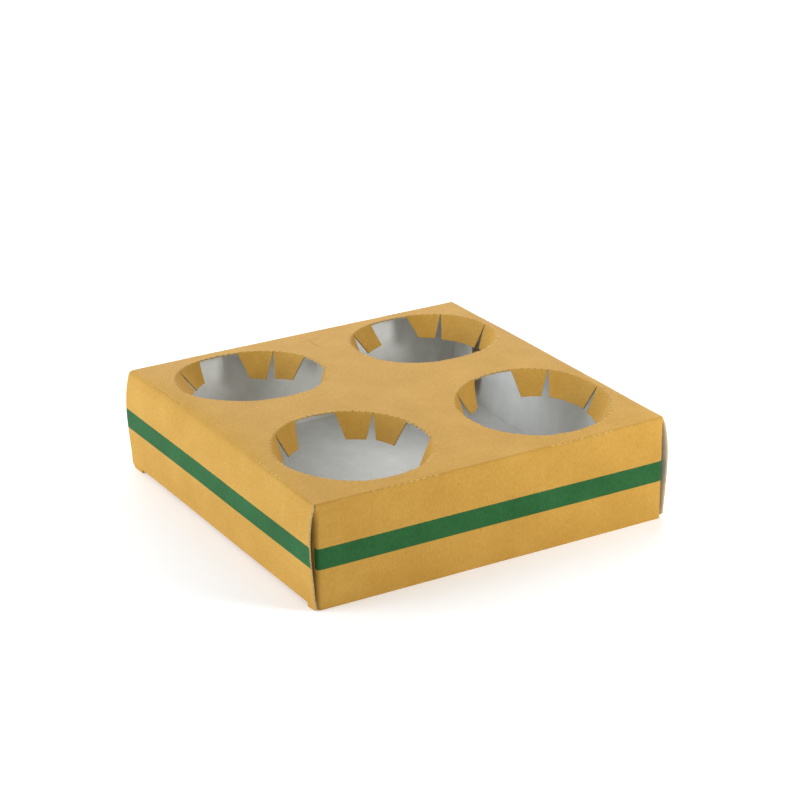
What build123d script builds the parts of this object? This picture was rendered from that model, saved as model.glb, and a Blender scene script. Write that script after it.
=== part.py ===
from build123d import *
import os
from math import asin, cos, degrees, radians, sin, sqrt

# A four-cup carrier folded from one die-cut sheet of kraft board, in mm.
# Origin at the middle of the footprint on the ground, front wall towards -Y.

# Board and box
board = 0.8              # thickness of the sheet
box_w = 200.0            # across X, over the folds of the side walls
box_d = 202.0            # across Y, over the front and back walls
wall_h = 55.0            # height of the straight top folds
top_rise = 4.4           # how far the middle of the top panel arches up
side_bow = 3.3           # how far the side walls bow outwards

# Folds, by the radius inside the board
side_fold_in = 3.2       # top panel to side wall, a soft fold
end_fold_in = 0.4        # top panel to front or back wall, a crisp one
floor_fold_in = 0.5
tab_fold_in = 0.6

# Cup holes, and the petals folded down round each of them
hole_d = 78.0
rim_margin = 8.5         # from a rim to the nearest fold lines
petal_len = 14.5         # from the rim down to the tip
petal_lean = 2.6         # how far a tip stands in from its upper end
petal_root = 0.1         # how far a petal's upper end stands inside the rim
slit_w = 0.8             # between two petals at the rim
slit_taper = 2.6         # how much a petal narrows beside a slit, down to its tip
petal_step = 45          # degrees from one gap in the ring of petals to the next
window_angle = 36.0      # part of the rim without petals, three times round a hole
window_taper = 5.0       # how much a petal narrows beside such a window

# Perforations
nick_count = 56          # short cuts round each hole
nick_gap = 0.3           # from a petal's upper end to the nicks
nick_w = 0.9             # at their wide end, towards the hole
nick_len = 1.4
dash_pitch = 4.4         # cuts along the folds of the top panel, beside each hole
dash_len = 2.4
dash_w = 0.5
dash_count = 7

# Floor, feet and corner tabs
floor_lift = 1.4         # underside of the floor above the ground
foot_len = 9.5           # ends of the side walls that reach the ground
foot_cut_y = 3.2         # cut-off corner of a foot
foot_cut_z = 1.4
lap_w = 26.0             # glued strip under the floor at the right wall
tab_len = 28.0           # corner tabs of the front and back walls
tab_gap = 0.5            # between a tab and the fold line of the side wall
tab_clear = 1.0          # between a tab and the floor
tab_drop = 4.6           # from the top folds down to a tab
tab_taper = 6.0          # how much a tab narrows at each side of its free end

side_fold_r = side_fold_in + board
end_fold_r = end_fold_in + board
floor_fold_r = floor_fold_in + board
tab_fold_r = tab_fold_in + board
half_w = box_w / 2
half_d = box_d / 2
hole_r = hole_d / 2
root_r = hole_r - petal_root
hole_x = half_w - rim_margin - hole_r
hole_y = half_d - rim_margin - hole_r
floor_half = half_d - foot_len
dome_half_d = half_d - end_fold_r
tab_x = half_w - board - tab_gap
beyond = box_w + box_d   # longer than anything it cuts
margin = 1.0             # overshoot of a cutter past the board


def wall_x(inset, z):
    """X of the right wall's arc at height z, measured inset into the board."""
    chord = wall_h - floor_lift
    radius = chord * chord / (8 * side_bow) + side_bow / 2
    centre = half_w + side_bow - radius
    return centre + sqrt((radius - inset) ** 2 - (z - floor_lift - chord / 2) ** 2)


# The arched panel ends where the side folds begin.
dome_half_w = wall_x(side_fold_r, wall_h - side_fold_r)


def bowed_section(inset, low, high):
    """Section between the two bowed walls, from one height to another."""
    right = [(wall_x(inset, z), z) for z in (low, (low + high) / 2, high)]
    left = [(-x, z) for x, z in right]
    with BuildSketch(Plane.XZ) as section:
        with BuildLine():
            ThreePointArc(*right)
            Line(right[2], left[2])
            ThreePointArc(*left)
            Line(left[0], right[0])
        make_face()
    return section


def folded_section(inset):
    """The same section from floor to top, with the radii of its four folds."""
    section = bowed_section(inset, floor_lift + inset, wall_h - inset)
    height = Axis.Y  # in the sketch's own plane
    with section:
        fillet(section.vertices().sort_by(height)[:2], floor_fold_r - inset)
        fillet(section.vertices().sort_by(height)[-2:], side_fold_r - inset)
    return section.sketch


def along_y(sketch, start, end):
    """Extrudes a section on the XZ plane from one Y to another."""
    return Pos(0, end, 0) * extrude(sketch, amount=end - start, dir=(0, -1, 0))


def along_x(sketch):
    """Extrudes a section on the YZ plane right through the carrier."""
    return Pos(-beyond / 2, 0, 0) * extrude(Plane.YZ * sketch, amount=beyond, dir=(1, 0, 0))


def upper_half():
    """Everything above mid-height, as a cutter."""
    return Pos(0, 0, wall_h) * Box(beyond, beyond, wall_h)


def sleeve():
    """Top, side walls and floor: a band round the box, on feet at its four corners."""
    band = folded_section(0) - folded_section(board)
    body = along_y(band, -floor_half, floor_half)
    leg = bowed_section(0, 0, wall_h / 2).sketch - bowed_section(board, 0, wall_h / 2).sketch
    for start, end in ((-half_d, -floor_half), (floor_half, half_d)):
        body += along_y(band, start, end) & upper_half()
        body += along_y(leg, start, end)
    lap_x = half_w - board - floor_fold_r - lap_w / 2
    lap = Pos(lap_x, 0, floor_lift - board / 2) * Box(lap_w, 2 * floor_half - 2 * foot_cut_y, board)
    return body + lap - foot_corners()


def foot_corners():
    """Cutters for the sloping ends of the feet."""
    slope = foot_cut_z / foot_cut_y
    low = -margin * slope
    cutters = []
    for end in (-1, 1):
        wedge = Polyline(
            (end * (half_d - foot_cut_y - margin), low),
            (end * (half_d + margin), foot_cut_z - low),
            (end * (half_d + margin), low),
            close=True,
        )
        cutters.append(along_x(make_face(wedge)))
    return cutters


def end_wall(end):
    """Front (-1) or back (1) wall with its two corner tabs."""
    outline = Rectangle(2 * tab_x, 2 * tab_len)
    inside = Rectangle(2 * (tab_x - board), 2 * (tab_len - board))
    outline = fillet(outline.vertices(), tab_fold_r)
    inside = fillet(inside.vertices(), tab_fold_r - board)
    ring = outline - inside
    keep = Pos(0, end * tab_len / 2, 0) * Rectangle(beyond, tab_len)
    wall = extrude(ring & keep, amount=wall_h)
    wall = Pos(0, end * (half_d - tab_len), 0) * wall
    return wall & tab_outline(end) & rounded_ends() & within_sleeve()


def tab_outline(end):
    """Side view of an end wall: full height at the wall, tapered towards the tabs' ends."""
    wall_y = end * (half_d - tab_fold_r)
    free_y = end * (half_d - tab_len)
    low = floor_lift + board + tab_clear
    high = wall_h - tab_drop
    points = [
        (end * (half_d + margin), -margin),
        (wall_y, -margin),
        (wall_y, low),
        (free_y, low + tab_taper),
        (free_y, high - tab_taper),
        (wall_y, high),
        (wall_y, wall_h + margin),
        (end * (half_d + margin), wall_h + margin),
    ]
    return along_x(make_face(Polyline(*points, close=True)))


def rounded_ends():
    """Everything between the front and back walls' outer faces, with their rounded top edges."""
    side = Rectangle(box_d, 2 * wall_h)
    return along_x(fillet(side.vertices(), end_fold_r))


def within_sleeve():
    """The space up to the middle of the sleeve's board, reaching down to the ground."""
    inset = board / 2
    upper = along_y(folded_section(inset), -half_d, half_d) & upper_half()
    return upper + along_y(bowed_section(inset, 0, wall_h / 2).sketch, -half_d, half_d)


def rise(x, y):
    """Height of the arched top panel above its folds."""
    across = 1 - (x / dome_half_w) ** 4
    along = 1 - (y / dome_half_d) ** 2
    return top_rise * across * along


def dome():
    """Top face of the arched panel: quartic across X, parabolic along Y, level at its edges."""
    across, along = (0, 2, 0, 2, 0), (0, 2, 0)
    rows = []
    for i, a in enumerate(across):
        x = dome_half_w * (i / 2 - 1)
        rows.append([Vector(x, dome_half_d * (j - 1), wall_h + top_rise * a * b) for j, b in enumerate(along)])
    return Face.make_bezier_surface(rows)


def petal(half_span, start_taper, end_taper):
    """One upright petal beside a hole at -X of it, with the middle of its rim at the origin."""
    side = root_r * sin(radians(half_span))
    front = Polyline(
        (-side, top_rise),
        (-side, 0),
        (start_taper - side, -petal_len),
        (side - end_taper, -petal_len),
        (side, 0),
        (side, top_rise),
        close=True,
    )
    blank = extrude(Plane.YZ * make_face(front), amount=root_r + board)
    wall = Cylinder(root_r + board, 4 * petal_len) - Cylinder(root_r, 4 * petal_len)
    return Pos(-root_r, 0, 0) * (blank & wall)


def petals(x, y, inward):
    """Petals round the hole at x, y, each leaning in from its own stretch of the arched rim."""
    lean = degrees(asin(petal_lean / petal_len))
    gaps = []
    for angle in range(0, 360 + petal_step, petal_step):
        if angle % 360 in (90, 270, inward):
            gaps.append((angle, window_angle / 2, window_taper))
        else:
            gaps.append((angle, degrees(slit_w / 2 / root_r), slit_taper))
    solids = []
    for (angle, half, taper), (next_angle, next_half, next_taper) in zip(gaps, gaps[1:]):
        start = angle + half
        end = next_angle - next_half
        middle = (start + end) / 2
        px = x + root_r * cos(radians(middle))
        py = y + root_r * sin(radians(middle))
        place = Pos(px, py, wall_h + rise(px, py)) * Rot(0, 0, middle) * Rot(0, lean, 0)
        solids.append(place * petal((end - start) / 2, taper, next_taper))
    return solids


def nicks(x, y):
    """Short tapering cuts all round the hole at x, y, just outside the fold of its petals."""
    cutters = []
    inner = root_r + board + nick_gap
    outer = inner + nick_len
    shape = make_face(Polyline((inner, -nick_w / 2), (outer, 0), (inner, nick_w / 2), close=True))
    cut = Pos(0, 0, -2 * board) * extrude(shape, amount=4 * board)
    for i in range(nick_count):
        angle = 360 * (i + 0.5) / nick_count
        px = x + inner * cos(radians(angle))
        py = y + inner * sin(radians(angle))
        cutters.append(Pos(x, y, wall_h + rise(px, py)) * Rot(0, 0, angle) * cut)
    return cutters


def dashes():
    """Cuts through the folds of the top panel, one run beside each hole on each fold."""
    cutters = []
    halfway = cos(radians(45))
    side_x = dome_half_w + side_fold_r * halfway
    side_z = wall_h - side_fold_r + side_fold_r * halfway
    end_y = dome_half_d + end_fold_r * halfway
    end_z = wall_h - end_fold_r + end_fold_r * halfway
    for i in range(dash_count):
        shift = (i - (dash_count - 1) / 2) * dash_pitch
        for sx in (-1, 1):
            for sy in (-1, 1):
                side = Rot(0, 45 * sx, 0) * Box(dash_w, dash_len, 4 * board)
                cutters.append(Pos(sx * side_x, sy * hole_y + shift, side_z) * side)
                end = Rot(-45 * sy, 0, 0) * Box(dash_len, dash_w, 4 * board)
                cutters.append(Pos(sx * hole_x + shift, sy * end_y, end_z) * end)
    return cutters


def top_panel():
    """Arched top panel with its four holes, their petals and their nicks."""
    face = dome()
    panel = extrude(face, amount=board, dir=(0, 0, -1))
    under_dome = extrude(face, amount=petal_len + top_rise, dir=(0, 0, -1))
    places = [(sx * hole_x, sy * hole_y) for sx in (-1, 1) for sy in (-1, 1)]
    panel -= [Pos(x, y, wall_h) * Cylinder(hole_r, wall_h) for x, y in places]
    panel += [leaf & under_dome for x, y in places for leaf in petals(x, y, 0 if x < 0 else 180)]
    return panel - [cut for x, y in places for cut in nicks(x, y)]


def carrier():
    """The folded board as one solid."""
    body = sleeve() & rounded_ends()
    body -= Pos(0, 0, wall_h) * Box(2 * dome_half_w, 2 * dome_half_d, 4 * board)
    body += [end_wall(-1), end_wall(1)]
    body -= dashes()
    return body + top_panel()


os.makedirs("parts", exist_ok=True)
model = carrier()
model.label = "carrier"
print("carrier: solids", len(model.solids()), "volume", round(model.volume, 1), "mm3")
export_step(model, "parts/carrier.step", write_pcurves=False)
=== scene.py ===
import bpy
import bmesh
import math
import random
from mathutils import Matrix, Vector, noise


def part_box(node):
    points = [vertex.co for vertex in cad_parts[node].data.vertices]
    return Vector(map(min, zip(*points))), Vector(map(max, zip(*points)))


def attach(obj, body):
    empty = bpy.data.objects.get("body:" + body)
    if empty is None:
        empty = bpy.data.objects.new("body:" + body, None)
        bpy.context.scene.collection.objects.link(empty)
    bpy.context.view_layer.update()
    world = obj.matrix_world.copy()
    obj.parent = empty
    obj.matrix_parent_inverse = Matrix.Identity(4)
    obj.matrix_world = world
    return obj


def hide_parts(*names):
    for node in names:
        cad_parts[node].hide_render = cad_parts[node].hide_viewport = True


# A four-cup carrier folded from one die-cut sheet of kraft board.
# Lengths are in millimetres until the mesh is made; metres after that.

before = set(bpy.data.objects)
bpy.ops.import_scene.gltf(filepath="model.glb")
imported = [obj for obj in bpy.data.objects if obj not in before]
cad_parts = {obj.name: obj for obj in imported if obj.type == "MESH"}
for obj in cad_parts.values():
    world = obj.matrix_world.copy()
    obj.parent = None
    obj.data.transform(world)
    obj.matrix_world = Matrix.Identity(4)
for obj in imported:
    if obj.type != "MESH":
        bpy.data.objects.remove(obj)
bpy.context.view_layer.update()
boxLow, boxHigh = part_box("carrier")
print("frame loaded, nodes:", list(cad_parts))
print("box in mm:", [round(v * 1000, 1) for v in boxHigh - boxLow])


# The folded sheet and its arch

sheet = {
    "width": 200.0,         # over the folds of the side walls
    "depth": 202.0,         # over the front and back walls
    "wallHeight": 55.0,
    "thickness": 0.8,
    "wave": 0.18,           # slow unevenness of the whole sheet
    "waveLength": 62.0,
}
folds = {                   # outer radii, where no comment says otherwise
    "left": (2.5, 2.6, 1.1),        # side fold, at the back, in the middle and at the front
    "right": (1.0, 0.8, 0.8),
    "side": 1.5,            # nominal, for the flat panel; the six above are the true ones
    "late": 1.5,            # how late a side fold turns from its middle radius to that of its end
    "end": 1.2,             # the crisp front and back folds
    "endFlat": 1.9,         # their length in the unfolded sheet
    "rim": 0.9,             # where a petal folds down
    "rimFlat": 1.3,
    "floor": 1.3,
    "tab": 1.8,
    "handle": 0.58,         # a curve handle's share of the radius, in a quarter round
}
arch = {
    "rise": 4.5,            # of the top, between the front and back folds
    "tilt": 0.05,           # more of it to the right, less to the left
    "endPower": 2.3,        # how squarely it ends at the front and back folds
    "half": 99.1,           # half the width that arches
    "sidePower": 14.8,      # and how squarely it ends there
    "trough": 2.2,          # how much less of it there is along the middle
    "troughWidth": 40.0,
    "foldRise": 0.7,        # how far the side folds rise with it in their middle
    "cornerLift": 0.8,      # how much higher the front right corner stands than the other three
}

halfW = sheet["width"] / 2
halfD = sheet["depth"] / 2
wallH = sheet["wallHeight"]
panelW = halfW - folds["side"]
panelD = halfD - folds["end"]
tiny = 1e-6                 # for places that have to count as equal


def foldRise(y):
    return arch["foldRise"] * max(0.0, 1 - (y / panelD) ** 2)


def rise(x, y):
    along = max(0.0, 1 - abs(y / panelD) ** arch["endPower"])
    across = 1 - min(1.0, abs(x) / arch["half"]) ** arch["sidePower"]
    trough = arch["trough"] * math.exp(-(x / arch["troughWidth"]) ** 2)
    return foldRise(y) + along * across * (arch["rise"] * (1 + arch["tilt"] * x / panelW) - trough)


def cornerLift(x, y):
    if x <= 0 or y >= 0:
        return 0.0
    return arch["cornerLift"] * min(1.0, x / panelW) ** 3 * min(1.0, -y / panelD) ** 4


def sideRadius(sx, y):
    back, middle, front = folds["left"] if sx < 0 else folds["right"]
    end = back if y > 0 else front
    return middle + (end - middle) * (abs(y) / halfD) ** folds["late"]


def edgeX(sx, y):
    # where the top panel ends and its side fold starts
    return halfW - sideRadius(sx, y)


def sideSlope(sx, y):
    # how steeply the panel meets its side fold
    step = 0.05
    edge = edgeX(sx, y)
    return (rise(sx * edge, y) - rise(sx * (edge - step), y)) / step


def endSlope(x):
    step = 0.5
    return (rise(x, panelD) - rise(x, panelD - step)) / step


def uneven(x, y, z):
    # the same slow wave for every patch, so that their edges still meet
    place = Vector((x, y, z)) / sheet["waveLength"]
    # three places in the noise, so that the three directions differ
    shifts = Vector((7.1, 0, 0)), Vector((0, 3.7, 0)), Vector((0, 0, 5.3))
    return sheet["wave"] * Vector([noise.noise(place + shift) for shift in shifts])


def bezier(p0, p1, p2, p3, shares):
    points = []
    for t in shares:
        s = 1 - t
        points.append(tuple(
            s * s * s * a + 3 * s * s * t * b + 3 * s * t * t * c + t * t * t * d
            for a, b, c, d in zip(p0, p1, p2, p3)
        ))
    return points


# Every patch is a grid of (point, flat place, ink), where the flat place is where the point
# lies in the unfolded sheet and ink says whether the stripe is printed there.

outline = {"points": [], "flats": [], "inks": [], "heights": [], "faces": []}
cutLips = []


def addLip(grid, r, c, flip, lip):
    # along the first side of a cut, in its row or its column, with the board's normal there
    here, beside, below = grid[r][c][0], grid[r][c + 1][0], grid[r + 1][c][0]
    normal = (beside - here).cross(below - here).normalized() * (-1 if flip else 1)
    cutLips.append((here, beside if lip == "row" else below, normal))


def addPatch(grid, flip=False, skip=None, lip=None, stripeShift=0.0):
    # a skipped cell is a cut through the board
    start = len(outline["points"])
    width = len(grid[0])
    for row in grid:
        for point, flat, ink in row:
            outline["points"].append(point)
            outline["flats"].append(flat)
            outline["inks"].append(ink)
            outline["heights"].append(point.z - stripeShift)
    for r in range(len(grid) - 1):
        for c in range(width - 1):
            if skip and skip(r, c):
                if lip:
                    addLip(grid, r, c, flip, lip)
                continue
            a = start + r * width + c
            face = (a, a + 1, a + width + 1, a + width)
            outline["faces"].append(face[::-1] if flip else face)


# Holes. Lines run out from each rim to the edges of its quarter of the top panel.

holes = {
    "diameter": 78.0,
    "rimMargin": 8.5,       # from a rim to the outsides of the nearest walls
    "teeth": 72,
    "nickHalfAngle": 0.34,  # degrees
    "nickReach": 1.9,       # out from the rim
}
creases = {                 # runs of short cuts along the folds, beside each hole
    "pitch": 3.45,
    "sideCount": 9,
    "sideCentre": 55.0,     # middle of a run, from the middle of its fold
    "endCount": 11,
    "endCentre": 50.5,
}
feet = {                    # ends of the side walls that reach the ground
    "length": (7.0, 12.5),  # front and back
    "cut": {(-1, -1): 0.3, (-1, 1): 2.2, (1, -1): 2.4, (1, 1): 1.6},    # height cut off at the tip
    "cutLength": 3.2,
    "rows": 4,
}

holeR = holes["diameter"] / 2
holeX = halfW - holes["rimMargin"] - holeR
holeY = halfD - holes["rimMargin"] - holeR
foldStart = holeR + folds["rim"]
nickEnd = holeR + holes["nickReach"]
footFront, footBack = (halfD - length for length in feet["length"])
perTooth = 4                # columns to a tooth of a rim, the first of them the nick
perDash = 4                 # columns to a pitch of a crease, the first two of them the dash


def rimAngles():
    step = 360 / holes["teeth"]
    half = holes["nickHalfAngle"]
    gap = (step - 2 * half) / (perTooth - 1)
    found = []
    for k in range(holes["teeth"]):
        found.append(k * step - half)
        found += [k * step + half + n * gap for n in range(perTooth - 1)]
    return found


angles = rimAngles()
lineCount = len(angles)


def nearestLine(degrees):
    return min(range(lineCount), key=lambda i: abs((angles[i] - degrees + 180) % 360 - 180))


def stops(length, count, dashes, runCentre, snaps=()):
    # places along an edge: fine ones over the run of dashes, even ones before and after it,
    # and at each snap the nearest place moved onto it
    runColumns = dashes * perDash - 2
    runStep = creases["pitch"] / perDash
    runStart = runCentre - runColumns * runStep / 2
    before = round((count - runColumns) * runStart / (length - runColumns * runStep))
    after = count - runColumns - before
    rest = length - runStart - runStep * runColumns
    places = [runStart * i / before for i in range(before)]
    places += [runStart + runStep * i for i in range(runColumns)]
    places += [length - rest + rest * i / after for i in range(after + 1)]
    dashed = {before + i for i in range(runColumns) if i % perDash < 2}
    for place in snaps:
        nearest = min(range(len(places)), key=lambda i: abs(places[i] - place))
        places[nearest] = place
    return places, dashed


# the four corners of a quarter of the panel, each on the line that runs nearest to it
cornerAngle = {
    "sideEnd": math.degrees(math.atan2(panelD - holeY, panelW - holeX)),
    "endMiddle": math.degrees(math.atan2(panelD - holeY, -holeX)),
    "centre": math.degrees(math.atan2(-holeY, -holeX)) + 360,
    "sideMiddle": math.degrees(math.atan2(-holeY, panelW - holeX)),
}
cornerLine = {name: nearestLine(angle) for name, angle in cornerAngle.items()}
sideColumns = (cornerLine["sideEnd"] - cornerLine["sideMiddle"]) % lineCount
endColumns = (cornerLine["endMiddle"] - cornerLine["sideEnd"]) % lineCount
sideStops, sideDashes = stops(
    panelD, sideColumns, creases["sideCount"], creases["sideCentre"], (footFront, footBack))
endStops, endDashes = stops(panelW, endColumns, creases["endCount"], creases["endCentre"])


def mirrored(places):
    return [-place for place in reversed(places)] + places[1:]


def mirroredDashes(dashes, half):
    # both runs of a fold, as columns counted from its start
    return {half + c for c in dashes} | {half - 1 - c for c in dashes}


def cellBoundary(sx, sy):
    # outer end of every line, round the quarter of the panel that holds the hole
    ring = {}
    for i, y in enumerate(sideStops):
        ring[(cornerLine["sideMiddle"] + i) % lineCount] = (edgeX(sx, sy * y), y)
    for i, x in enumerate(reversed(endStops)):
        ring[(cornerLine["sideEnd"] + i) % lineCount] = (x * edgeX(sx, sy * panelD) / panelW, panelD)
    count = (cornerLine["centre"] - cornerLine["endMiddle"]) % lineCount
    for i in range(count + 1):
        ring[(cornerLine["endMiddle"] + i) % lineCount] = (0.0, panelD * (1 - i / count))
    count = (cornerLine["sideMiddle"] - cornerLine["centre"]) % lineCount
    for i in range(count):
        ring[(cornerLine["centre"] + i) % lineCount] = (edgeX(sx, 0) * i / count, 0.0)
    return [ring[i] for i in range(lineCount)]


def topEntry(x, y, sx, sy):
    # an entry of the top's patches, from its place in the quarter of +X and +Y
    x, y = sx * x, sy * y
    return Vector((x, y, wallH + rise(x, y) + cornerLift(x, y))), (x, y), 0.0


# shares of the way from the nicks to the edge, closer together near the nicks and near the edge
panelShares = [0.035, 0.09, 0.17, 0.27, 0.38, 0.5, 0.62, 0.73, 0.82, 0.89, 0.95, 1.0]


def addPanelCell(sx, sy):
    boundary = cellBoundary(sx, sy)
    closed = [i % lineCount for i in range(lineCount + 1)]
    outward = [(math.cos(math.radians(angles[i])), math.sin(math.radians(angles[i]))) for i in closed]
    rows = [[(radius * x, radius * y) for x, y in outward] for radius in (foldStart, nickEnd)]
    inner = rows[-1]
    for share in panelShares:
        row = []
        for (x, y), i in zip(inner, closed):
            edge, end = boundary[i]
            row.append((x + share * (edge - holeX - x), y + share * (end - holeY - y)))
        rows.append(row)
    grid = [[topEntry(holeX + x, holeY + y, sx, sy) for x, y in row] for row in rows]
    addPatch(grid, flip=sx * sy > 0, skip=lambda r, c: r == 0 and c % perTooth == 0, lip="column")


# Petals fold down from the rim, and the panel's own teeth stay in the windows between them

petals = {
    "step": 45,             # degrees from one gap to the next
    "length": 13.4,
    "lengthSpread": (-0.5, 0.5),
    "lean": 24.0,           # degrees, from upright towards the middle of the hole
    "leanSpread": (-5.0, 6.0),
    "curlSpread": (-9.0, 7.0),
    "slitTaper": 2.6,
    "windowTaper": 4.6,
    "windowAngle": 34.0,
    "windows": (90, 180, 270),      # middles, in the quarter of +X and +Y and mirrored in the others
    "foldSteps": 4,
    "nickSteps": 2,         # steps of the fold that the nicks reach over
    "steps": 7,
    "seed": 11,
}
seenPetals = {              # (side, end, which petal): lean, taper and length at its start and at its end
    (-1, 1, 0): ((38.0, 2.6, 13.0), (45.0, 3.6, 12.7)),
    (-1, 1, 1): ((42.0, 1.0, 13.6), (36.0, 4.0, 11.9)),
    (-1, 1, 2): ((26.0, 6.1, 13.4), (22.0, 2.5, 14.8)),
    (1, 1, 1): ((27.0, 1.9, 12.8), (35.0, 6.6, 12.0)),
    (1, 1, 2): ((48.0, 2.4, 13.4), (36.0, 2.6, 13.4)),
}
petalDraw = random.Random(petals["seed"])


def gapEdges(centre):
    # where the gap starts and ends, and how much a petal narrows beside it
    if centre % 360 in petals["windows"]:
        half = petals["windowAngle"] / 2
        return centre - half, centre + half, petals["windowTaper"]
    return centre, centre, petals["slitTaper"]


def linesBetween(startAngle, endAngle):
    # the lines of a petal or a window, and which of the columns between them are nicks
    first = nearestLine(startAngle + holes["nickHalfAngle"])
    last = nearestLine(endAngle - holes["nickHalfAngle"])
    lines = [(first + i) % lineCount for i in range((last - first) % lineCount + 1)]
    nicked = {c for c, i in enumerate(lines[:-1]) if i % perTooth == 0}
    return lines, nicked


def petalForm(key, startTaper, endTaper):
    # every petal draws its form, so that one seen petal more or less leaves the others alone
    startLean = petals["lean"] + petalDraw.uniform(*petals["leanSpread"])
    endLean = petals["lean"] + petalDraw.uniform(*petals["leanSpread"])
    curl = petalDraw.uniform(*petals["curlSpread"])
    length = petals["length"] + petalDraw.uniform(*petals["lengthSpread"])
    tipSlope = petalDraw.uniform(*petals["lengthSpread"])
    if key in seenPetals:
        (startLean, startTaper, startLength), (endLean, endTaper, endLength) = seenPetals[key]
        curl = 0.0
        length = (startLength + endLength) / 2
        tipSlope = (endLength - startLength) / 2
    return (startLean, endLean), (startTaper, endTaper), curl, length, tipSlope


def petalColumn(lean, curl, reach):
    # from the fold's start to the tip: distance from the hole's middle, height and length below the fold
    bend = math.radians(90 - lean)
    column = []
    for k in range(petals["foldSteps"] + 1):
        turn = bend * k / petals["foldSteps"]
        radius = foldStart - folds["rim"] * math.sin(turn)
        drop = -folds["rim"] * (1 - math.cos(turn))
        column.append((radius, drop, 0.0))
    step = reach / petals["steps"]
    for k in range(petals["steps"]):
        turn = bend + math.radians(curl) * k / petals["steps"]
        radius -= step * math.cos(turn)
        drop -= step * math.sin(turn)
        column.append((radius, drop, reach * (k + 1) / petals["steps"]))
    return column


def addPetal(sx, sy, which, startAngle, endAngle, startTaper, endTaper):
    lines, nicked = linesBetween(startAngle, endAngle)
    middle = math.radians((startAngle + endAngle) / 2)
    half = math.radians((endAngle - startAngle) / 2) * holeR
    leans, tapers, curl, length, tipSlope = petalForm((sx, sy, which), startTaper, endTaper)
    columns = []
    for i in lines:
        angle = math.radians(angles[i])
        across = ((angle - middle + math.pi) % (2 * math.pi) - math.pi) * holeR / half
        lean = leans[0] + (leans[1] - leans[0]) * (across + 1) / 2
        foldX = sx * (holeX + foldStart * math.cos(angle))
        foldY = sy * (holeY + foldStart * math.sin(angle))
        top = wallH + rise(foldX, foldY)
        entries = []
        for k, (radius, drop, depth) in enumerate(petalColumn(lean, curl, length + tipSlope * across)):
            inward = depth / length * ((1 - across) / 2 * tapers[0] - (1 + across) / 2 * tapers[1])
            turned = angle + inward / holeR
            point = Vector((
                sx * (holeX + radius * math.cos(turned)),
                sy * (holeY + radius * math.sin(turned)),
                top + drop,
            ))
            flatR = foldStart - folds["rimFlat"] * min(1.0, k / petals["foldSteps"]) - depth
            flat = (sx * (holeX + flatR * math.cos(angle)), sy * (holeY + flatR * math.sin(angle)))
            entries.append((point, flat, 0.0))
        columns.append(entries)
    grid = list(zip(*columns))
    addPatch(grid, flip=sx * sy < 0, skip=lambda r, c: c in nicked and r < petals["nickSteps"])


def addWindow(sx, sy, startAngle, endAngle):
    lines, nicked = linesBetween(startAngle, endAngle)
    grid = []
    for radius in (foldStart, (foldStart + holeR) / 2, holeR):
        row = []
        for i in lines:
            x = holeX + radius * math.cos(math.radians(angles[i]))
            y = holeY + radius * math.sin(math.radians(angles[i]))
            row.append(topEntry(x, y, sx, sy))
        grid.append(row)
    addPatch(grid, flip=sx * sy < 0, skip=lambda r, c: c in nicked)


for sx in (-1, 1):
    for sy in (-1, 1):
        addPanelCell(sx, sy)
        for i, centre in enumerate(range(0, 360, petals["step"])):
            _, start, startTaper = gapEdges(centre)
            end, _, endTaper = gapEdges(centre + petals["step"])
            addPetal(sx, sy, i, start, end, startTaper, endTaper)
        for centre in petals["windows"]:
            start, end, _ = gapEdges(centre)
            addWindow(sx, sy, start, end)
print("top panel and petals laid out")


# Side walls: fold, bowed wall, then the floor fold between the feet

sides = {
    "left": (0.9, 2.35, 2.3, 0.8),  # flare at the floor, bow at back and front, skew upward
    "right": (1.2, 2.5, 2.45, 0.55),
    "setBack": 0.2,         # of the ends behind the faces of the front and back walls
    "roundStop": 0.5,       # past the panel's end, a stop in the round of the front and back folds
    "curl": 0.8,            # front left foot, inwards
    "curlHeight": 9.0,
    "curlLength": 10.0,
    "rows": 16,
    "rowsEnd": 4.0,         # above the floor, where the feet and the floor fold take over
    "dashRow": 4,           # of the fold, that the dashes cut
    "inkMargin": 6.0,       # nothing is printed nearer to the fold
    "stripeShift": 2.1,     # how much higher the stripe sits here than on the front and back
}
base = {                    # the floor, and the strip that is glued under it
    "lift": 1.4,
    "stripLift": 0.6,
    "stripWidth": 26.0,
    "clearance": 2.2,       # between the floor's end and the right wall
    "halfDepth": 99.9,
    "stretched": 0.25,      # outer share of the floor that widens to that
    "widenBy": 0.012,       # share of the way across, just past the fold
}
# places round a side fold, as shares of its curve, closer together at its top
foldShares = [0, 0.08, 0.16, 0.24, 0.31, 0.39, 0.48, 0.6, 0.74, 0.88, 1]

wallStops = sideStops + [panelD + sides["roundStop"], halfD - sides["setBack"]]
wallY = mirrored(wallStops)
dashedWall = mirroredDashes(sideDashes, len(wallStops) - 1)


def wallX(z, sx, y):
    flare, back, front, skew = sides["left"] if sx < 0 else sides["right"]
    bow = front + (back - front) * (y + halfD) / (2 * halfD)
    middle = (wallH + base["lift"]) / 2
    height = 2 * (z - middle) / (wallH - base["lift"])
    curl = 0.0
    if sx < 0:
        low = max(0.0, 1 - z / sides["curlHeight"])
        near = max(0.0, (-y - (halfD - sides["curlLength"])) / sides["curlLength"])
        curl = sides["curl"] * low ** 2 * near ** 2
    return halfW + flare * (1 - height) / 2 + bow * (1 - height ** 2) * (1 + skew * height) - curl


def endEdge(y, z):
    # the ends of a side wall follow the round of the front and back folds at the top
    if abs(y) <= panelD:
        return y
    centre = wallH - folds["end"]
    reach = folds["end"]
    if z > centre:
        reach = math.sqrt(max(0.0, reach ** 2 - (z - centre) ** 2))
    return math.copysign(panelD + reach * (abs(y) - panelD) / folds["end"], y)


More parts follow.
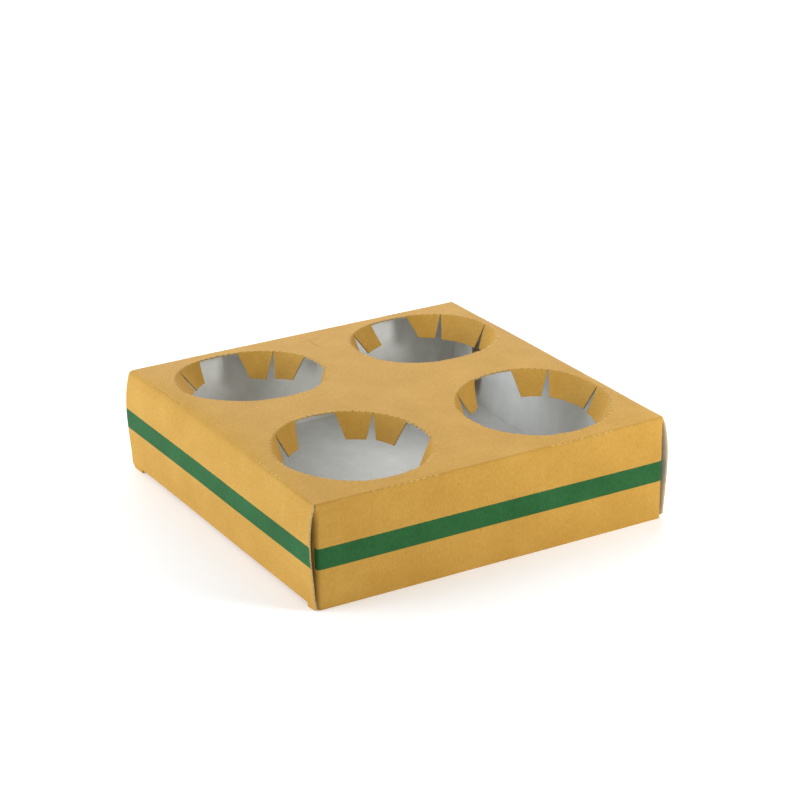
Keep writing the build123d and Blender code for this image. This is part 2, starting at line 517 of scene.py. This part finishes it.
def sideSection(sx, y):
    # fold and wall from the panel's edge down, as (x, z), at one place along the wall
    radius = sideRadius(sx, y)
    edge = edgeX(sx, y)
    slope = sideSlope(sx, y)
    top = wallH + rise(sx * edge, y) + cornerLift(sx * edge, y)
    # a panel that slopes down to its fold makes the fold deeper
    foldEnd = top - radius * (1 - slope / 2)
    reach = radius * folds["handle"]
    level = reach / math.hypot(1, slope)
    x1 = wallX(foldEnd, sx, y)
    lean = wallX(foldEnd - 1, sx, y) - x1
    fold = bezier(
        (edge, top),
        (edge + level, top + slope * level),
        (x1 - lean * reach, foldEnd + reach),
        (x1, foldEnd),
        foldShares,
    )
    low = base["lift"] + sides["rowsEnd"]
    wall = [foldEnd + (low - foldEnd) * k / sides["rows"] for k in range(1, sides["rows"] + 1)]
    return fold + [(wallX(z, sx, y), z) for z in wall]


def addSide(sx):
    sections = [sideSection(sx, y) for y in wallY]
    middle = sections[len(wallY) // 2]
    grid = []
    along = 0.0
    for r in range(len(middle)):
        if r:
            along += math.dist(middle[r - 1], middle[r])
        ink = 1.0 if sections[0][r][1] < wallH - sides["inkMargin"] else 0.0
        row = []
        for section, y in zip(sections, wallY):
            x, z = section[r]
            row.append((Vector((sx * x, endEdge(y, z), z)), (sx * (edgeX(sx, y) + along), y), ink))
        grid.append(row)
    addPatch(grid, flip=sx > 0, skip=lambda r, c: r == sides["dashRow"] and c in dashedWall, lip="row",
             stripeShift=sides["stripeShift"])
    startZ = grid[-1][0][0].z
    addFloorFold(sx, startZ, along + startZ)
    addFeet(sx, startZ, along + startZ)


def wallEntry(sx, y, z, flatGround):
    # an entry below the wall's rows; the ground lies flatGround from the panel in the flat sheet
    return Vector((sx * wallX(z, sx, y), y, z)), (sx * (panelW + flatGround - z), y), 0.0


def addFloorFold(sx, startZ, flatGround):
    # the left wall turns into the floor, the right one into the glued strip under it
    level = base["lift"] if sx < 0 else base["stripLift"]
    radius = folds["floor"]
    spanned = [y for y in wallY if -footFront - tiny <= y <= footBack + tiny]
    grid = []
    for step in (0.0, 0.5, 1.0):
        z = startZ + (level + radius - startZ) * step
        grid.append([wallEntry(sx, y, z, flatGround) for y in spanned])
    turns = 5
    for k in range(1, turns + 1):
        turn = math.radians(90 * k / turns)
        z = level + radius - radius * math.sin(turn)
        row = []
        for y in spanned:
            x = wallX(level + radius, sx, y) - radius * (1 - math.cos(turn))
            row.append((Vector((sx * x, y, z)), (sx * (panelW + flatGround - z), y), 0.0))
        grid.append(row)
    # past its fold the floor widens to reach the front and back walls
    farX = halfW - base["clearance"]
    shares = [base["widenBy"]] + [n / 10 for n in range(1, 11)]
    if sx > 0:
        farX = halfW - radius - base["stripWidth"]
        shares = [0.25, 0.5, 0.75, 1.0]
    lastX = [abs(entry[0].x) for entry in grid[-1]]
    for share in shares:
        row = []
        for y, last in zip(spanned, lastX):
            limit = footFront if y < 0 else footBack
            if sx < 0:
                outer = max(0.0, abs(y) / limit - (1 - base["stretched"])) / base["stretched"]
                y += math.copysign(outer * (base["halfDepth"] - limit), y)
            x = sx * last + (farX - sx * last) * share
            flatX = sx * (panelW + flatGround) + (x - sx * last)
            row.append((Vector((x, y, level)), (flatX, y), 0.0))
        grid.append(row)
    addPatch(grid, flip=sx > 0)


def addFeet(sx, startZ, flatGround):
    for side, start in ((-1, footFront), (1, footBack)):
        spanned = [y for y in wallY if side * y >= start - tiny]
        grid = []
        for n in range(feet["rows"] + 1):
            row = []
            for y in spanned:
                past = (abs(y) - (halfD - feet["cutLength"])) / feet["cutLength"]
                ground = max(0.0, past * feet["cut"][sx, side])
                z = startZ + (ground - startZ) * n / feet["rows"]
                row.append(wallEntry(sx, y, z, flatGround))
            grid.append(row)
        addPatch(grid, flip=sx > 0)


for sx in (-1, 1):
    addSide(sx)
print("side walls and floor laid out")


# Front and back walls with their corner tabs

ends = {
    "foldRows": 7,
    "dashRow": 3,           # of the fold, that the dashes cut
    "inset": {(-1, -1): 1.3, (-1, 1): 0.5, (1, -1): 0.1, (1, 1): 0.5},  # of a corner from the side wall
    "insetHeight": 9.0,     # how far below the fold it is full
    "insetWidth": 10.0,     # how far from the tab's face it starts
    "cornerGap": 0.12,      # between the flat of the wall and its corner fold
    "cornerSteps": 5,
    "pinned": 4.0,          # how far below the fold a corner is fully round
    "tuck": 1.1,            # how far a corner stays below the side fold, in thicknesses
}
tabs = {
    "x": 99.95,             # outer face
    "length": 28.0,
    "lean": 0.11,           # sideways per millimetre inwards
    "low": 3.2,
    "drop": 4.6,
    "taper": 6.0,
    "steps": 8,
    "flatStart": 0.8,       # where its flat starts in the unfolded sheet, past its face
}
tabR = folds["tab"]
tabTop = wallH - tabs["drop"]
cornerX = tabs["x"] - tabR              # where a corner fold starts
endFoldZ = wallH - folds["end"]
endX = mirrored(endStops)
dashedEnd = mirroredDashes(endDashes, len(endStops) - 1)
# rows of the wall; those from tabs["low"] to tabTop go on into the tabs
endHeights = [51.9, tabTop, 45.0, 38.0, 32.5, 27.0, 21.0, 14.0, 8.0, tabs["low"], 1.6, 0.0]


def inset(x, z, sy):
    share = min(1.0, (endFoldZ - z) / ends["insetHeight"])
    near = min(1.0, max(0.0, (abs(x) - tabs["x"] + ends["insetWidth"]) / ends["insetWidth"]))
    return ends["inset"][-1 if x < 0 else 1, sy] * share ** 2 * (3 - 2 * share) * near ** 2


def endFoldCurve(x, sy):
    # from the panel's edge over the crisp fold to the wall, as (y, z)
    top = wallH + cornerLift(x, sy * panelD)
    reach = folds["end"] * folds["handle"]
    return bezier(
        (panelD, top),
        (panelD + reach, top + endSlope(x) * reach),
        (halfD, endFoldZ + reach),
        (halfD, endFoldZ),
        [k / ends["foldRows"] for k in range(ends["foldRows"] + 1)],
    )


def cornerColumns(side, sy):
    # the round from the wall to a tab, as (x, flat x)
    first = math.asin(max(0.0, edgeX(side, sy * panelD) + ends["cornerGap"] - cornerX) / tabR)
    turns = [first + (math.pi / 2 - first) * k / ends["cornerSteps"] for k in range(ends["cornerSteps"] + 1)]
    return [(side * (cornerX + tabR * math.sin(turn)), cornerX + tabR * turn) for turn in turns]


def endEntry(x, flatX, z, sy):
    radius = sideRadius(-1 if x < 0 else 1, sy * panelD)
    past = max(0.0, abs(x) - (halfW - radius))
    back = tabR - math.sqrt(max(0.0, tabR ** 2 - max(0.0, abs(x) - cornerX) ** 2))
    height = z
    if past > tiny:
        # a corner stays under the side fold
        clear = wallH + cornerLift(x, sy * panelD) - ends["tuck"] * sheet["thickness"]
        clear += math.sqrt(max(0.0, radius ** 2 - past ** 2)) - radius
        height = min(z, clear)
    else:
        # the wall is flat at the crisp fold and rounder from there down
        back *= min(1.0, (endFoldZ - z) / ends["pinned"])
    point = Vector((x - math.copysign(inset(x, z, sy), x), sy * (halfD - back), height))
    return point, (math.copysign(flatX, x), sy * (panelD + folds["endFlat"] + endFoldZ - z)), 1.0


def addEnd(sy):
    lineX = [x * edgeX(-1 if x < 0 else 1, sy * panelD) / panelW for x in endX]
    curves = [endFoldCurve(x, sy) for x in lineX]
    grid = []
    for r in range(ends["foldRows"] + 1):
        flatY = sy * (panelD + folds["endFlat"] * r / ends["foldRows"])
        row = []
        for x, curve in zip(lineX, curves):
            y, z = curve[r]
            row.append((Vector((x, sy * y, z)), (x, flatY), 0.0))
        grid.append(row)
    addPatch(grid, flip=sy < 0, skip=lambda r, c: r == ends["dashRow"] and c in dashedEnd, lip="row")

    # the flat of the wall with its two corner folds
    columns = cornerColumns(-1, sy)[::-1] + [(x, abs(x)) for x in lineX] + cornerColumns(1, sy)
    grid = [[endEntry(x, flatX, z, sy) for x, flatX in columns] for z in [endFoldZ] + endHeights]
    addPatch(grid, flip=sy < 0)
    for sx in (-1, 1):
        addTab(sx, sy)


def addTab(sx, sy):
    heights = [z for z in endHeights if tabs["low"] <= z <= tabTop]
    grid = []
    for n in range(tabs["steps"] + 1):
        along = (tabs["length"] - tabR) * n / tabs["steps"]
        taper = tabs["taper"] * n / tabs["steps"]
        ink = 1.0 if n == 0 else 0.0
        row = []
        for z in heights:
            share = (z - tabs["low"]) / (tabTop - tabs["low"])
            height = tabs["low"] + taper + share * (tabTop - tabs["low"] - 2 * taper)
            x = tabs["x"] - inset(sx * tabs["x"], height, sy) - tabs["lean"] * along
            flatX = sx * (tabs["x"] + tabs["flatStart"] + along)
            flatY = sy * (panelD + folds["endFlat"] + endFoldZ - height)
            row.append((Vector((sx * x, sy * (halfD - tabR - along), height)), (flatX, flatY), ink))
        grid.append(row)
    addPatch(grid, flip=sx * sy > 0)


for sy in (-1, 1):
    addEnd(sy)
print("front and back walls laid out:", len(outline["faces"]), "faces")


# One mesh from the patches, welded, then given the thickness of the board

def makeSkin(name):
    weldDistance = 0.03 / 1000
    shortestEdge = 0.01 / 1000
    mesh = bpy.data.meshes.new(name)
    mesh.from_pydata([(p + uneven(*p)) / 1000 for p in outline["points"]], [], outline["faces"])
    uv = mesh.uv_layers.new(name="flatSheet")
    for key, values in (("ink", outline["inks"]), ("printHeight", outline["heights"])):
        attribute = mesh.attributes.new(key, "FLOAT", "POINT")
        attribute.data.foreach_set("value", values)
    for loop in mesh.loops:
        x, y = outline["flats"][loop.vertex_index]
        uv.data[loop.index].uv = (x / 1000, y / 1000)
    bm = bmesh.new()
    bm.from_mesh(mesh)
    bmesh.ops.remove_doubles(bm, verts=bm.verts, dist=weldDistance)
    bmesh.ops.dissolve_degenerate(bm, edges=bm.edges, dist=shortestEdge)
    bm.to_mesh(mesh)
    bm.free()
    skin = bpy.data.objects.new(name, mesh)
    bpy.context.scene.collection.objects.link(skin)
    return skin


def finishMesh(obj, sharpAngle):
    # turns the live modifiers into a plain mesh at the origin
    depsgraph = bpy.context.evaluated_depsgraph_get()
    mesh = bpy.data.meshes.new_from_object(obj.evaluated_get(depsgraph), depsgraph=depsgraph)
    obj.modifiers.clear()
    old = obj.data
    obj.data = mesh
    bpy.data.meshes.remove(old)
    for polygon in mesh.polygons:
        polygon.use_smooth = True
    mesh.set_sharp_from_angle(angle=math.radians(sharpAngle))


def hexLinear(value):
    # sRGB hex such as "C59A5A" to linear RGBA
    channels = [int(value[i:i + 2], 16) / 255 for i in (0, 2, 4)]
    linear = [c / 12.92 if c <= 0.04045 else ((c + 0.055) / 1.055) ** 2.4 for c in channels]
    return (*linear, 1.0)


def addNode(tree, kind, values=None, links=None, **settings):
    node = tree.nodes.new(kind)
    for key, value in settings.items():
        setattr(node, key, value)
    for key, value in (values or {}).items():
        node.inputs[key].default_value = value
    for key, source in (links or {}).items():
        tree.links.new(source, node.inputs[key])
    return node


def newMaterial(name, roughness, specular=None):
    material = bpy.data.materials.new(name)
    material.use_nodes = True
    tree = material.node_tree
    shader = tree.nodes["Principled BSDF"]
    shader.inputs["Roughness"].default_value = roughness
    if specular is not None:
        shader.inputs["Specular IOR Level"].default_value = specular
    return material, tree, shader


# Materials. Noise scales are in features per metre of the unfolded sheet: 1000 / millimetres.
# A colour mix has its colours in sockets 6 and 7, and its result in output 2.

kraft = {
    "darkHex": "B08433",
    "midHex": "BB8F3D",
    "paleHex": "C59A48",
    "speckHex": "7A4E1E",
    "inkHex": "144C20",
    "inkPaleHex": "2A6535",
    "roughness": 0.7,
    "specular": 0.2,
    "fibre": 0.9,               # mm; real fibres are finer, but would not show
    "cloud": 26.0,
    "flute": 3.2,
    "fibreShare": 0.5,          # of each pattern in the board's tone
    "cloudShare": 0.42,
    "fluteShare": 0.08,
    "toneRange": (0.33, 0.67),
    "bump": 0.1,
    "bumpDepth": 0.1,           # mm
    "speck": 4.2,
    "speckRadius": (0.05, 0.11),    # full and gone, in cells of the pattern
    "speckRarity": 0.93,        # share of the cells that have none
    "speckDepth": 0.75,
    "stripe": (21.0, 32.0),     # mm above the table
    "stripeFray": 0.4,
    "stripeBlur": 0.12,
    # ends of two thin cuts, in mm of the flat sheet
    "hairlines": (((-6.0, 87.0), (6.0, 87.0)), ((-0.2, 84.3), (-0.2, 75.0))),
    "hairlineHalf": (0.1, 0.36),    # mm from its middle, where it is full and where it is gone
    "hairlineDepth": 0.75,
}
alongFibres = (1.0, 0.38, 1.0)      # both patterns are long in the flat sheet's y
alongFlutes = (1.0, 0.03, 1.0)


def hairlineGap(tree, uv):
    # distance in the flat sheet to the nearest hairline, each a very thin box
    spot = addNode(tree, "ShaderNodeSeparateXYZ", links={0: uv})
    nearest = None
    for hairline in kraft["hairlines"]:
        gaps = []
        for axis, (start, end) in enumerate(zip(*hairline)):
            middle = (start + end) / 2 / 1000
            half = abs(end - start) / 2 / 1000
            away = addNode(tree, "ShaderNodeMath", {1: middle}, {0: spot.outputs[axis]}, operation="SUBTRACT")
            away = addNode(tree, "ShaderNodeMath", links={0: away.outputs[0]}, operation="ABSOLUTE")
            away = addNode(tree, "ShaderNodeMath", {1: half}, {0: away.outputs[0]}, operation="SUBTRACT")
            gaps.append(away)
        links = {0: gaps[0].outputs[0], 1: gaps[1].outputs[0]}
        gap = addNode(tree, "ShaderNodeMath", links=links, operation="MAXIMUM")
        if nearest:
            links = {0: gap.outputs[0], 1: nearest.outputs[0]}
            gap = addNode(tree, "ShaderNodeMath", links=links, operation="MINIMUM")
        nearest = gap
    return nearest.outputs[0]


def makeKraftLiner():
    # unbleached kraft liner, calendered then flexo printed: matt, warm, with visible fibres
    material, tree, shader = newMaterial("kraftLiner", kraft["roughness"], kraft["specular"])
    uv = addNode(tree, "ShaderNodeTexCoord").outputs["UV"]
    along = addNode(tree, "ShaderNodeMapping", {"Scale": alongFibres}, {"Vector": uv})
    fibre = addNode(
        tree, "ShaderNodeTexNoise",
        {"Scale": 1000 / kraft["fibre"], "Detail": 3.0, "Roughness": 0.62}, {"Vector": along.outputs[0]})
    cloud = addNode(
        tree, "ShaderNodeTexNoise",
        {"Scale": 1000 / kraft["cloud"], "Detail": 4.0, "Roughness": 0.6}, {"Vector": uv})
    ridged = addNode(tree, "ShaderNodeMapping", {"Scale": alongFlutes}, {"Vector": uv})
    flute = addNode(
        tree, "ShaderNodeTexNoise",
        {"Scale": 1000 / kraft["flute"], "Detail": 1.0}, {"Vector": ridged.outputs[0]})
    tone = addNode(
        tree, "ShaderNodeMath",
        {1: kraft["fibreShare"]}, {0: fibre.outputs[0]}, operation="MULTIPLY")
    for pattern, share in ((cloud, kraft["cloudShare"]), (flute, kraft["fluteShare"])):
        links = {0: pattern.outputs[0], 2: tone.outputs[0]}
        tone = addNode(tree, "ShaderNodeMath", {1: share}, links, operation="MULTIPLY_ADD")
    low, high = kraft["toneRange"]
    spread = addNode(tree, "ShaderNodeMapRange", {1: low, 2: high}, {0: tone.outputs[0]})
    ramp = addNode(tree, "ShaderNodeValToRGB", links={0: spread.outputs[0]})
    ramp.color_ramp.elements[0].color = hexLinear(kraft["darkHex"])
    ramp.color_ramp.elements[1].color = hexLinear(kraft["paleHex"])
    ramp.color_ramp.elements.new(0.5).color = hexLinear(kraft["midHex"])

    # two hairline cuts by the back fold, as a bar and its stem
    full, gone = kraft["hairlineHalf"]
    cut = addNode(
        tree, "ShaderNodeMapRange",
        {1: full / 1000, 2: gone / 1000, 3: kraft["hairlineDepth"], 4: 0.0}, {0: hairlineGap(tree, uv)})
    scored = addNode(
        tree, "ShaderNodeMix",
        {7: hexLinear(kraft["speckHex"])}, {0: cut.outputs[0], 6: ramp.outputs[0]}, data_type="RGBA")

    # sparse dark bark specks
    specks = addNode(
        tree, "ShaderNodeTexVoronoi",
        {"Scale": 1000 / kraft["speck"], "Randomness": 1.0}, {"Vector": uv})
    full, gone = kraft["speckRadius"]
    small = addNode(
        tree, "ShaderNodeMapRange",
        {1: full, 2: gone, 3: kraft["speckDepth"], 4: 0.0}, {0: specks.outputs["Distance"]})
    few = addNode(tree, "ShaderNodeSeparateColor", links={0: specks.outputs["Color"]})
    chosen = addNode(
        tree, "ShaderNodeMath",
        {1: kraft["speckRarity"]}, {0: few.outputs[0]}, operation="GREATER_THAN")
    links = {0: small.outputs[0], 1: chosen.outputs[0]}
    speck = addNode(tree, "ShaderNodeMath", links=links, operation="MULTIPLY")
    plain = addNode(
        tree, "ShaderNodeMix",
        {7: hexLinear(kraft["speckHex"])}, {0: speck.outputs[0], 6: scored.outputs[2]}, data_type="RGBA")

    # the green stripe, where the sheet is printed, with a slightly rough edge
    low, high = kraft["stripe"]
    centre = (low + high + kraft["stripeFray"]) / 2
    half = (high - low) / 2
    height = addNode(tree, "ShaderNodeAttribute", attribute_name="printHeight")
    links = {0: fibre.outputs[0], 2: height.outputs["Fac"]}
    frayed = addNode(tree, "ShaderNodeMath", {1: kraft["stripeFray"]}, links, operation="MULTIPLY_ADD")
    off = addNode(tree, "ShaderNodeMath", {1: centre}, {0: frayed.outputs[0]}, operation="SUBTRACT")
    off = addNode(tree, "ShaderNodeMath", links={0: off.outputs[0]}, operation="ABSOLUTE")
    band = addNode(
        tree, "ShaderNodeMapRange",
        {1: half - kraft["stripeBlur"], 2: half + kraft["stripeBlur"], 3: 1.0, 4: 0.0}, {0: off.outputs[0]})
    printed = addNode(tree, "ShaderNodeAttribute", attribute_name="ink")
    inked = addNode(tree, "ShaderNodeMath", {1: 0.5}, {0: printed.outputs["Fac"]}, operation="GREATER_THAN")
    links = {0: band.outputs[0], 1: inked.outputs[0]}
    mask = addNode(tree, "ShaderNodeMath", links=links, operation="MULTIPLY")
    ink = addNode(
        tree, "ShaderNodeMix",
        {6: hexLinear(kraft["inkHex"]), 7: hexLinear(kraft["inkPaleHex"])}, {0: spread.outputs[0]},
        data_type="RGBA")
    links = {0: mask.outputs[0], 6: plain.outputs[2], 7: ink.outputs[2]}
    colour = addNode(tree, "ShaderNodeMix", links=links, data_type="RGBA")
    tree.links.new(colour.outputs[2], shader.inputs["Base Color"])
    bump = addNode(
        tree, "ShaderNodeBump",
        {"Strength": kraft["bump"], "Distance": kraft["bumpDepth"] / 1000}, {"Height": tone.outputs[0]})
    tree.links.new(bump.outputs[0], shader.inputs["Normal"])
    return material


greyInside = {
    "hexes": ("DDDEDA", "EAEBE8"),
    "cloud": 9.0,           # mm
    "range": (0.3, 0.7),
    "roughness": 0.75,
    "specular": 0.25,
}
openCore = {
    "hexes": ("9C8558", "C2AE80"),
    "grain": 0.9,           # mm
    "range": (0.35, 0.65),
    "roughness": 0.9,
    "specular": 0.2,
}
liftedFibre = {"hex": "D8B872", "roughness": 0.9, "specular": 0.2}


def colourByPattern(tree, shader, pattern, look):
    low, high = look["range"]
    share = addNode(tree, "ShaderNodeMapRange", {1: low, 2: high}, {0: pattern.outputs[0]})
    dark, pale = (hexLinear(value) for value in look["hexes"])
    mix = addNode(tree, "ShaderNodeMix", {6: dark, 7: pale}, {0: share.outputs[0]}, data_type="RGBA")
    tree.links.new(mix.outputs[2], shader.inputs["Base Color"])


def makeGreyLiner():
    # the recycled white-grey liner inside: chalky, very slightly cloudy
    material, tree, shader = newMaterial("greyLiner", greyInside["roughness"], greyInside["specular"])
    uv = addNode(tree, "ShaderNodeTexCoord").outputs["UV"]
    cloud = addNode(
        tree, "ShaderNodeTexNoise",
        {"Scale": 1000 / greyInside["cloud"], "Detail": 5.0, "Roughness": 0.65}, {"Vector": uv})
    colourByPattern(tree, shader, cloud, greyInside)
    return material


def makeCutEdge():
    # the die-cut edge: open core fibres, greyer than the liner
    material, tree, shader = newMaterial("dieCutEdge", openCore["roughness"], openCore["specular"])
    local = addNode(tree, "ShaderNodeTexCoord").outputs["Object"]
    grain = addNode(
        tree, "ShaderNodeTexNoise",
        {"Scale": 1000 / openCore["grain"], "Detail": 2.0}, {"Vector": local})
    colourByPattern(tree, shader, grain, openCore)
    return material


def makeTornLip():
    # liner fibres that the knife has lifted: a shade paler than the face
    material, tree, shader = newMaterial("tornLip", liftedFibre["roughness"], liftedFibre["specular"])
    shader.inputs["Base Color"].default_value = hexLinear(liftedFibre["hex"])
    return material


boardMaterials = (makeKraftLiner(), makeGreyLiner(), makeCutEdge())
tornLip = makeTornLip()
print("board materials made")

board = makeSkin("carrier_board")
for material in boardMaterials:
    board.data.materials.append(material)
thick = board.modifiers.new("board", "SOLIDIFY")
thick.thickness = sheet["thickness"] / 1000
thick.offset = -1                       # inwards: the patches are the outside of the board
thick.use_even_offset = True
thick.material_offset = 1               # grey inside
thick.material_offset_rim = 2           # and the open core at every edge
finishMesh(board, sharpAngle=38)
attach(board, "root")
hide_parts("carrier")
print("board:", len(board.data.polygons), "faces")


# The knife lifts a pale lip beside each nick and each dash of a crease

lips = {"width": 0.34, "height": 0.14, "jitter": 0.4, "seed": 5}


def makeLipTree():
    tree = bpy.data.node_groups.new("knifeLips", "GeometryNodeTree")
    face = tree.interface
    face.new_socket("Geometry", in_out="INPUT", socket_type="NodeSocketGeometry")
    inputs = {"Width": lips["width"] / 1000, "Height": lips["height"] / 1000, "Jitter": lips["jitter"]}
    for name, value in inputs.items():
        face.new_socket(name, in_out="INPUT", socket_type="NodeSocketFloat").default_value = value
    face.new_socket("Seed", in_out="INPUT", socket_type="NodeSocketInt").default_value = lips["seed"]
    face.new_socket("Geometry", in_out="OUTPUT", socket_type="NodeSocketGeometry")
    given = addNode(tree, "NodeGroupInput").outputs

    # a bar for each cut, turned along it and standing on the board
    bar = addNode(tree, "GeometryNodeMeshCube", {"Size": (1.0, 1.0, 1.0)})
    along, outward = (
        addNode(tree, "GeometryNodeInputNamedAttribute", {"Name": name}, data_type="FLOAT_VECTOR").outputs[0]
        for name in ("along", "outward"))
    turned = addNode(tree, "FunctionNodeAlignRotationToVector", links={"Vector": along}, axis="X")
    raised = addNode(
        tree, "FunctionNodeAlignRotationToVector",
        links={"Rotation": turned.outputs[0], "Vector": outward}, axis="Z", pivot_axis="X")

    # as long as the cut, give or take the jitter
    length = addNode(tree, "ShaderNodeVectorMath", links={0: along}, operation="LENGTH")
    size = addNode(
        tree, "ShaderNodeCombineXYZ",
        links={0: length.outputs["Value"], 1: given["Width"], 2: given["Height"]})
    least = addNode(tree, "ShaderNodeMath", {0: 1.0}, {1: given["Jitter"]}, operation="SUBTRACT")
    most = addNode(tree, "ShaderNodeMath", {0: 1.0}, {1: given["Jitter"]}, operation="ADD")
    vary = addNode(
        tree, "FunctionNodeRandomValue",
        links={2: least.outputs[0], 3: most.outputs[0], "Seed": given["Seed"]}, data_type="FLOAT")
    scaled = addNode(
        tree, "ShaderNodeVectorMath",
        links={0: size.outputs[0], "Scale": vary.outputs[1]}, operation="SCALE")
    placed = addNode(tree, "GeometryNodeInstanceOnPoints", links={
        "Points": given["Geometry"],
        "Instance": bar.outputs["Mesh"],
        "Rotation": raised.outputs[0],
        "Scale": scaled.outputs[0],
    })
    real = addNode(tree, "GeometryNodeRealizeInstances", links={0: placed.outputs[0]})
    pale = addNode(tree, "GeometryNodeSetMaterial", {"Material": tornLip}, {0: real.outputs[0]})
    addNode(tree, "NodeGroupOutput", links={0: pale.outputs[0]})
    return tree


def makeLips():
    mesh = bpy.data.meshes.new("knife_lips")
    middles = [(start + end) / 2 for start, end, _ in cutLips]
    mesh.from_pydata([(p + uneven(*p)) / 1000 for p in middles], [], [])
    lines = [(end - start) / 1000 for start, end, _ in cutLips]
    normals = [normal for _, _, normal in cutLips]
    for key, vectors in (("along", lines), ("outward", normals)):
        attribute = mesh.attributes.new(key, "FLOAT_VECTOR", "POINT")
        attribute.data.foreach_set("vector", [v for vector in vectors for v in vector])
    obj = bpy.data.objects.new("knife_lips", mesh)
    bpy.context.scene.collection.objects.link(obj)
    modifier = obj.modifiers.new("lips", "NODES")
    modifier.node_group = makeLipTree()
    finishMesh(obj, sharpAngle=30)
    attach(obj, "root")
    print("cut lips:", len(cutLips))


makeLips()


# Floor, light and camera

stage = {
    "floorHex": "F6F6F5",
    "floorRoughness": 0.95,
    "glowHex": "FFFFFF",
    "floorGlow": 0.19,
    "floorHalf": 8.0,       # metres
    "worldHex": "FFFFFF",
    "worldStrength": 0.3,
}
lights = {                  # place, aim and size in metres, then watts and colour
    "leftSoftbox": ((-1.5, 0.42, 0.9), (0, 0, 0.02), (1.1, 0.9), 17.6, (0.95, 1.0, 1.1)),
    "lowLeftSoftbox": ((-1.05, 0.36, 0.17), (-0.1, 0, 0.02), (0.9, 0.25), 3.8, (0.9, 1.0, 1.22)),
    "backSoftbox": ((0.45, 1.0, 0.62), (0, 0, 0.05), (1.4, 0.6), 14.2, (1.0, 0.985, 0.94)),
    "overhead": ((-0.1, 0.5, 1.5), (0, 0.05, 0), (1.8, 1.4), 2.0, (1.0, 0.985, 0.94)),
    "frontRightFill": ((0.27, -0.45, 0.27), (0.06, -0.1, 0.03), (0.2, 0.2), 1.8, (1.0, 1.0, 1.0)),
}
camera = {
    "azimuth": 30.4,        # turned to the right of +Y
    "elevation": 22.24,     # above the horizon
    "roll": -0.54,
    "distance": 1297.5,
    "right": 5.0,           # how far the view stands off the middle of the box
    "up": 22.0,
    "lens": 112.68,
    "sensor": 36.0,
    "clipStart": 0.01,      # metres
}


def makeFloor():
    # seamless studio paper
    material, tree, shader = newMaterial("studioPaper", stage["floorRoughness"])
    shader.inputs["Base Color"].default_value = hexLinear(stage["floorHex"])
    shader.inputs["Emission Color"].default_value = hexLinear(stage["glowHex"])
    shader.inputs["Emission Strength"].default_value = stage["floorGlow"]
    half = stage["floorHalf"]
    corners = [(-half, -half, 0), (half, -half, 0), (half, half, 0), (-half, half, 0)]
    mesh = bpy.data.meshes.new("studio_floor")
    mesh.from_pydata(corners, [], [(0, 1, 2, 3)])
    mesh.materials.append(material)
    floor = bpy.data.objects.new("studio_floor", mesh)
    bpy.context.scene.collection.objects.link(floor)


def makeWorld():
    world = bpy.data.worlds.new("studio")
    world.use_nodes = True
    background = world.node_tree.nodes["Background"]
    background.inputs["Color"].default_value = hexLinear(stage["worldHex"])
    background.inputs["Strength"].default_value = stage["worldStrength"]
    bpy.context.scene.world = world


def addLight(name, place, target, size, power, colour):
    data = bpy.data.lights.new(name, "AREA")
    data.shape = "RECTANGLE"
    data.size, data.size_y = size
    data.energy = power
    data.color = colour
    light = bpy.data.objects.new(name, data)
    light.location = place
    light.rotation_euler = (Vector(target) - Vector(place)).to_track_quat("-Z", "Y").to_euler()
    light.visible_camera = False
    bpy.context.scene.collection.objects.link(light)


def makeCamera():
    azimuth, elevation, roll = (math.radians(camera[key]) for key in ("azimuth", "elevation", "roll"))
    forward = Vector((
        math.sin(azimuth) * math.cos(elevation),
        math.cos(azimuth) * math.cos(elevation),
        -math.sin(elevation),
    ))
    level = Vector((math.cos(azimuth), -math.sin(azimuth), 0))
    upright = level.cross(forward)
    right = math.cos(roll) * level + math.sin(roll) * upright
    up = math.cos(roll) * upright - math.sin(roll) * level
    middle = Vector((0, 0, wallH / 2))
    eye = middle - camera["distance"] * forward + camera["right"] * right + camera["up"] * up
    data = bpy.data.cameras.new("camera")
    data.lens = camera["lens"]
    data.sensor_width = camera["sensor"]
    data.clip_start = camera["clipStart"]
    obj = bpy.data.objects.new("camera", data)
    obj.matrix_world = Matrix((
        (right.x, up.x, -forward.x, eye.x / 1000),
        (right.y, up.y, -forward.y, eye.y / 1000),
        (right.z, up.z, -forward.z, eye.z / 1000),
        (0, 0, 0, 1),
    ))
    bpy.context.scene.collection.objects.link(obj)
    bpy.context.scene.camera = obj


makeFloor()
makeWorld()
for name, settings in lights.items():
    addLight(name, *settings)
makeCamera()
bpy.context.scene.view_settings.view_transform = "Standard"
print("stage, lights and camera set")
